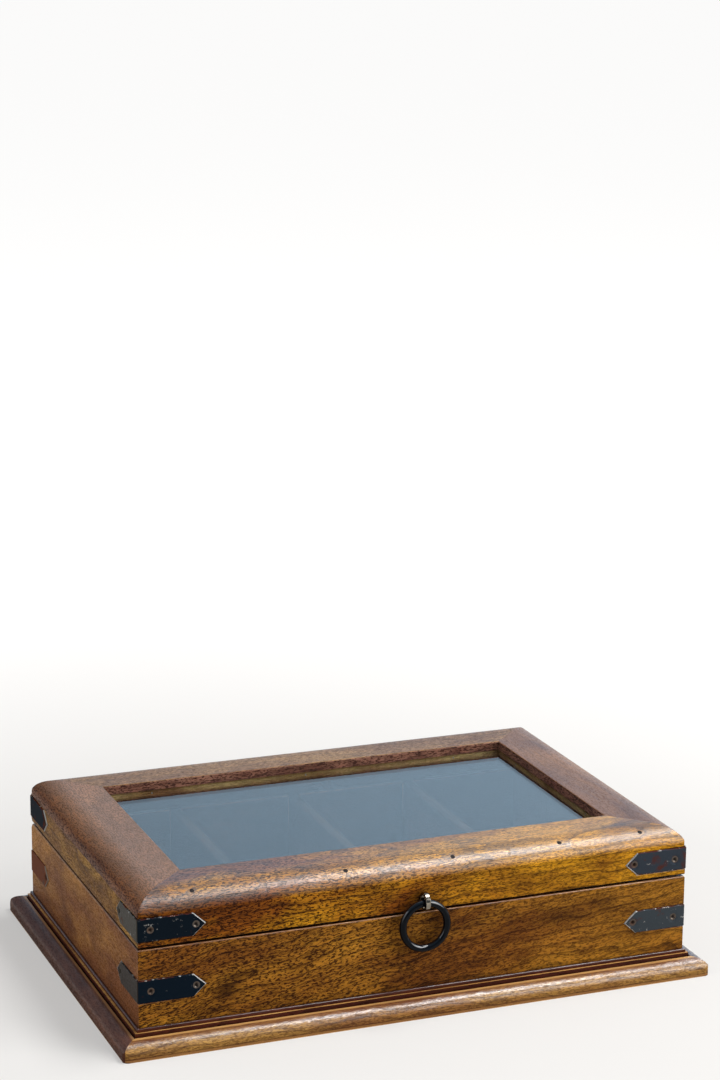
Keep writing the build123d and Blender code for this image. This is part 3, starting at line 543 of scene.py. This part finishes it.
# Hinges: two iron butt hinges let into the back, each of two leaves, a loose pin and six countersunk screws.
# They are plain blacked iron, less worn than the straps because nothing rubs on them.
HINGE_HEIGHT = 50.6
hinge_iron = blacked_iron("hinge_iron", "#20242a", "#6a6d70", "#50281a", HINGE_HEIGHT, rusty=0.66)
for side in ("left", "right"):
    finish_node("hinge_case_leaf_" + side, hinge_iron)
    finish_node("hinge_lid_leaf_" + side, hinge_iron)
    finish_node("hinge_pin_" + side, screw_steel)
finish_node("hinge_case_screws", screw_steel)
finish_node("hinge_lid_screws", screw_steel)

# Lid skirt: four low boards of the walls' thickness, mitred, whose lower edge meets the case at the seam.
# The front one is golden with dense dark pores, and the lower arris along the seam is painted near black
# as shade.
lid_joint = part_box("lid_skirt_front")[1].z
golden = {
    "light": "#dc9a20", "brown": "#905014", "vein": "#220c02", "stain": "#66330e", "log": (-10, 66, -20),
    "shift": 900, "drift": (0.17, 0), "slope": 3, "closing": 0.5, "gloss": 0.3, "polish": 0.95,
    "shine": 0.06}
skirt_woods = {
    "front": oiled_wood("skirt_front_wood", **golden),
    "back": oiled_wood("skirt_back_wood", "#a5732c", "#76481c", "#2f1606", log=(20, -70, -20), shift=1400),
    "left": oiled_wood(
        "skirt_left_wood", "#c2913f", "#946630", "#3a2010", stain="#6b4222", turn=90, log=(30, 110, -20),
        shift=260, pore=0.6, streak=0.6, patches=((-23, 56.5, 0.7, 4.5, 0.9),), shine=0.04),
    "right": oiled_wood(
        "skirt_right_wood", "#98672c", "#6d421e", "#2f170a", turn=90, log=(-30, -110, -20), shift=760,
        pore=0.8),
}
SEAM_ARRIS_LOWEST, SEAM_ARRIS_HIGHEST = -0.97, -0.25
for side, wood in skirt_woods.items():
    skirt = softened("lid_skirt_" + side, BOARD_EASE, wood, tight=lid_joint, rubbed=painted_shade_wood)
    # The lower arris along the seam, which faces down, is painted near black as shade.
    for face in skirt.data.polygons:
        on_seam = SEAM_ARRIS_LOWEST < face.normal.z < SEAM_ARRIS_HIGHEST
        face.material_index = EDGE_SLOT if on_seam else PLAIN
    stain_inside(skirt, side)

# Lid frame: four flat rails, mitred, nailed down on the skirt and then rounded over along the outside.
# Oil and handling give it a satin shine that pales the flat tops and breaks up along the rounding,
# and the narrow edges round the glass are stained a dull reddish brown. The left rail's tops are also
# painted paler, as a sheen.
frame_woods = {
    "front": oiled_wood("frame_front_wood", **golden),
    "back": oiled_wood(
        "frame_back_wood", "#b18448", "#966a38", "#2f1509", stain="#75451f", log=(40, -60, -40), shift=2100,
        drift=(0.06, 0), pore=0.7, streak=0.2, ring_mark=0.3, polish=0.8, flat=1.2),
    # Its tops are painted paler toward a pale tan, as a sheen.
    "left": oiled_wood(
        "frame_left_wood", "#9a6032", "#784522", "#2a120a", stain="#5a3118", turn=90, log=(60, 110, -40),
        shift=1900, pore=0.9, streak=0.3, ring_mark=0.2, polish=0.9, flat=1.2, top=(0.16, "#d8a874")),
    "right": oiled_wood(
        "frame_right_wood", "#93602f", "#744724", "#2f150b", stain="#623819", turn=90, log=(-60, -110, -40),
        shift=2300, pore=0.35, streak=0.2, ring_mark=0.2, polish=0.9, flat=1.2),
}
edge_woods = {
    axis: oiled_wood(
        "stained_edge_wood_" + along, "#ac7c66", "#875746", "#2f160f", stain="#5c3226", turn=turn,
        shift=shift, corner_shade=0.2, polish=0.3)
    for axis, along, turn, shift in (("x", "long", 0, 700), ("y", "short", 90, 0))
}
RAIL_EASE, EDGE_SQUARE, EDGE_NEAR = 0.35, 0.8, 0.1
X, Y = 0, 1
LOW, HIGH = 0, 1
inner_edges = {"front": (Y, HIGH), "back": (Y, LOW), "left": (X, HIGH), "right": (X, LOW)}
for side, wood in frame_woods.items():
    rail = softened("lid_frame_" + side, RAIL_EASE, wood, tight=lid_joint)
    axis, end = inner_edges[side]
    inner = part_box("lid_frame_" + side)[end][axis]
    rail.data.materials[EDGE_SLOT] = edge_woods["x" if axis == Y else "y"]
    for face in rail.data.polygons:
        square = abs(face.normal[axis]) > EDGE_SQUARE
        on_edge = square and abs(face.center[axis] - inner) < EDGE_NEAR * MM
        face.material_index = EDGE_SLOT if on_edge else PLAIN

# Frame nails: iron heads punched into the rounding and dressed flush, so that they show as dark spots.
# Those along the front were left bare and went black, and the others were rubbed over with brown wax.


def dark_iron(name, black, bare, gloss, shine=0.25, polish=0.0, waxed=None, waxed_from=0.0):
    """Iron under a smooth dark varnish: near black, glossy or dull, with a few rubbed spots, and polished by
    hands on what faces up. Where some are waxed, waxed is the wax's colour, and waxed_from the place along
    Y, in mm, behind which they are."""
    rub_size, ripple_size, ripple_depth, varnish_ior = 3.0, 2.5, 0.2, 1.8
    material, tree, shader = new_material(name)
    place = add(tree, "TexCoord").outputs
    rubs = add(tree, "TexNoise", {"Vector": place["Object"], "Scale": 1 / rub_size / MM, "Detail": 4.0})
    rubbed = add(tree, "MapRange", {
        "Value": rubs, "From Min": 0.64, "From Max": 0.76}, interpolation_type="SMOOTHSTEP")
    colour = add(tree, "MixRGB", {"Fac": rubbed, "Color1": linear(black), "Color2": linear(bare)})
    if waxed:
        along_y = add(tree, "SeparateXYZ", {"Vector": place["Object"]}).outputs["Y"]
        behind = add(tree, "Math", {0: along_y, 1: waxed_from * MM}, operation="GREATER_THAN")
        colour = add(tree, "MixRGB", {"Fac": behind, "Color1": colour, "Color2": linear(waxed)})
    rough = add(tree, "MapRange", {"Value": rubbed, "To Min": gloss, "To Max": gloss + 0.2})
    ripples = add(tree, "TexNoise", {
        "Vector": place["Object"], "Scale": 1 / ripple_size / MM, "Detail": 2.0})
    bump = add(tree, "Bump", {"Height": ripples, "Strength": 0.07, "Distance": ripple_depth * MM})
    upward = add(tree, "SeparateXYZ", {"Vector": place["Normal"]}).outputs["Z"]
    polished = add(tree, "MapRange", {
        "Value": upward, "From Min": 0.2, "From Max": 0.6, "To Max": polish})
    fill(tree, shader, {
        "Base Color": colour, "Roughness": rough, "Normal": bump, "Specular IOR Level": shine,
        "Coat Weight": polished, "Coat Roughness": gloss, "Coat IOR": varnish_ior})
    return material


finish_node("frame_nails", dark_iron(
    "oiled_nail_iron", "#1d120c", "#3d2a1e", 0.6, waxed="#7a5232", waxed_from=-80))

# Lid glass: one sheet of 3 mm window glass, laid in the frame's rebate from below.
# It is clear, with broad wiping smears that soften its reflection a very little.


def window_glass(name, tint, roughness):
    """Clear float glass: faintly blue-green through its thickness, with wiping smears a few cm wide.
    Lamp light goes straight through it, so that what lies under it is lit."""
    smear_width, smear_stretch, smear_turn = 40.0, 0.2, 0.5
    material, tree, shader = new_material(name)
    place = add(tree, "TexCoord").outputs["Object"]
    wiped = add(tree, "Mapping", {
        "Vector": place, "Rotation": (0, 0, smear_turn), "Scale": (smear_stretch, 1, 1)})
    smears = add(tree, "TexNoise", {"Vector": wiped, "Scale": 1 / smear_width / MM, "Detail": 1.0})
    rough = add(tree, "MapRange", {
        "Value": smears, "From Min": 0.4, "From Max": 0.75, "To Max": roughness})
    fill(tree, shader, {
        "Base Color": linear(tint), "Roughness": rough, "Transmission Weight": 1.0, "IOR": 1.52})
    passed = add(tree, "BsdfTransparent", {"Color": linear(tint)})
    lamp_light = add(tree, "MixShader", {
        "Fac": add(tree, "LightPath").outputs["Is Shadow Ray"], 1: shader, 2: passed})
    fill(tree, tree.nodes["Material Output"], {"Surface": lamp_light})
    return material


finish_node("lid_glass", window_glass("wiped_window_glass", "#eef5f4", 0.006))

# Glass beads: four thin strips of pale wood with a rounded edge, mitred round the glass, painted paler
# still for the light that reaches them under the glass.
# They hold it up in its rebate, and each is fixed to the frame with small steel pins.
BEAD_EASE = 0.3
for along, turn, shift, sides in (
        ("long", 0, 60, ("front", "back")), ("short", 90, 160, ("left", "right"))):
    bead_wood = oiled_wood(
        "bead_wood_" + along, "#d2ae74", "#b08a52", "#5e4022", turn=turn, shift=shift, pore=0.5, streak=0.3,
        ring_mark=0.3, corner_shade=0.1, gloss=0.5, polish=0.2)
    for side in sides:
        softened("glass_bead_" + side, BEAD_EASE, bead_wood)
finish_node("bead_pins", screw_steel)

# Lid straps: four more of the bent iron strips, let into the lid's corners and held by dished nails.
# They are blacked and worn like those on the case, and the front left one is worn through the most.
lid_strap_finishes = {
    "front_left": {"black": "#111921", "bare": "#b9b7b2", "rusty": 0.68, "shift": 37, "worn_from": 0.62},
    "front_right": {"black": "#323840", "bare": "#cbc9c4", "rust": "#52271a", "rusty": 0.54, "shift": 70},
    "back_left": {
        "black": "#0b1219", "bare": "#b9b7b2", "shift": 110, "metal": 0.0, "shine": 0.0, "ends": "#262c33"},
    "back_right": {"black": "#1f252b", "bare": "#b9b7b2", "shift": 150},
}
for corner, finish in lid_strap_finishes.items():
    finish_node("lid_strap_" + corner, blacked_iron(
        "lid_strap_iron_" + corner, middle=LID_STRAP_MIDDLE, **{"rust": "#642b16", **finish}))
finish_node("lid_strap_nails", blacked_iron("lid_nail_iron", middle=LID_STRAP_MIDDLE, **nail_finish))

# Ring pull: a ring of black japanned iron wire hanging in the eye of a split pin.
# The pin is plain iron rubbed bright by the ring, and its legs are clinched inside the lid.
finish_node("pull_eye", turned_steel("rubbed_eye_iron", "#a89f90", "#4a453d", 0.15))
finish_node("pull_ring", dark_iron("japanned_ring_iron", "#02050b", "#0b1016", 0.1, shine=0.1, polish=1.0))

# Studio: a plain pale floor, a pale sky, and soft lamps from the front right, from above and, weakly, from
# the left. Floor and sky are pale to the eye and in reflections, and light the box less than that.
# In reflections the sky is dim behind the camera and to the left.
FLOOR_REACH, FLOOR_NEAR, FLOOR_FAR = 30.0, 0.25, 0.9
bpy.ops.object.select_all(action="DESELECT")
bpy.ops.mesh.primitive_plane_add(size=2 * FLOOR_REACH)
floor = bpy.context.view_layer.objects.active
floor.name = "studio_floor"
floor_paint, tree, unused = new_material("pale_floor")
tree.nodes.remove(unused)
rays = add(tree, "LightPath").outputs
mirrored = add(tree, "Math", {
    0: rays["Is Glossy Ray"], 1: rays["Is Transmission Ray"]}, operation="MAXIMUM")
seen = add(tree, "Math", {0: rays["Is Camera Ray"], 1: mirrored}, operation="MAXIMUM")
away = add(tree, "VectorMath", {0: add(tree, "TexCoord").outputs["Object"]}, operation="LENGTH")
whiter = add(tree, "MapRange", {
    "Value": away.outputs["Value"], "From Min": FLOOR_NEAR, "From Max": FLOOR_FAR,
    "To Min": 0.35, "To Max": 0.8})
glowing = add(tree, "Math", {0: seen, 1: whiter}, operation="MULTIPLY")
matt = add(tree, "BsdfDiffuse", {"Color": linear("#b4b2af")})
glow = add(tree, "Emission", {"Strength": glowing})
both = add(tree, "AddShader", {0: matt, 1: glow})
fill(tree, tree.nodes["Material Output"], {"Surface": both})
floor.data.materials.append(floor_paint)

sky = bpy.data.worlds.new("pale_sky")
sky.use_nodes = True
bpy.context.scene.world = sky
tree = sky.node_tree
rays = add(tree, "LightPath").outputs
mirrored = add(tree, "Math", {
    0: rays["Is Glossy Ray"], 1: rays["Is Transmission Ray"]}, operation="MAXIMUM")
facing = add(tree, "SeparateXYZ", {"Vector": add(tree, "TexCoord").outputs["Generated"]}).outputs
brighter_right = add(tree, "MapRange", {
    "Value": facing["X"], "From Min": -0.15, "From Max": 0.45, "To Min": 0.3, "To Max": 1.22})
in_mirror = add(tree, "MapRange", {
    "Value": facing["Y"], "From Min": -0.4, "From Max": 0.3, "To Min": 0.15, "To Max": brighter_right})
elsewhere = add(tree, "MapRange", {"Value": rays["Is Camera Ray"], "To Min": 0.36, "To Max": 1.0})
level = add(tree, "MapRange", {"Value": mirrored, "To Min": elsewhere, "To Max": in_mirror})
tint = add(tree, "MixRGB", {
    "Fac": mirrored, "Color1": linear("#ffffff"), "Color2": linear("#bfdcf5")})
fill(tree, tree.nodes["Background"], {"Strength": level, "Color": tint})


def soft_lamp(name, place, aim, size, watts):
    """A soft lamp that faces a point of the box."""
    lamp = bpy.data.lights.new(name, "AREA")
    lamp.shape = "RECTANGLE"
    lamp.size, lamp.size_y = size
    lamp.energy = watts
    holder = bpy.data.objects.new(name, lamp)
    bpy.context.scene.collection.objects.link(holder)
    holder.location = place
    holder.rotation_euler = (Vector(aim) - Vector(place)).to_track_quat("-Z", "Y").to_euler()


soft_lamp("key_lamp", (1.5, -1.3, 1.0), (0, 0, 0.04), (1.4, 1.4), 36)
soft_lamp("top_lamp", (0.62, -0.12, 1.5), (0, 0, 0.05), (0.8, 0.45), 15)
soft_lamp("fill_lamp", (-1.2, -0.3, 0.5), (0, 0, 0.04), (1.0, 1.0), 4)

# Camera: at the photograph's angle and distance, a long lens with no shift and no depth of field.
# Colours go to the picture as they are, with no film look.
AZIMUTH, ELEVATION, ROLL = math.radians(-21.422), math.radians(13.601), math.radians(0.364)
EYE, FOCAL_LENGTH = Vector((-489.535, -1259.06, 538.691)) * MM, 93.46
bpy.context.scene.view_settings.view_transform = "Standard"
lens = bpy.data.cameras.new("camera")
lens.lens = FOCAL_LENGTH
camera = bpy.data.objects.new("camera", lens)
bpy.context.scene.collection.objects.link(camera)
camera.matrix_world = (Matrix.Translation(EYE) @ Matrix.Rotation(AZIMUTH, 4, "Z")
                       @ Matrix.Rotation(math.pi / 2 - ELEVATION, 4, "X") @ Matrix.Rotation(ROLL, 4, "Z"))
bpy.context.scene.camera = camera
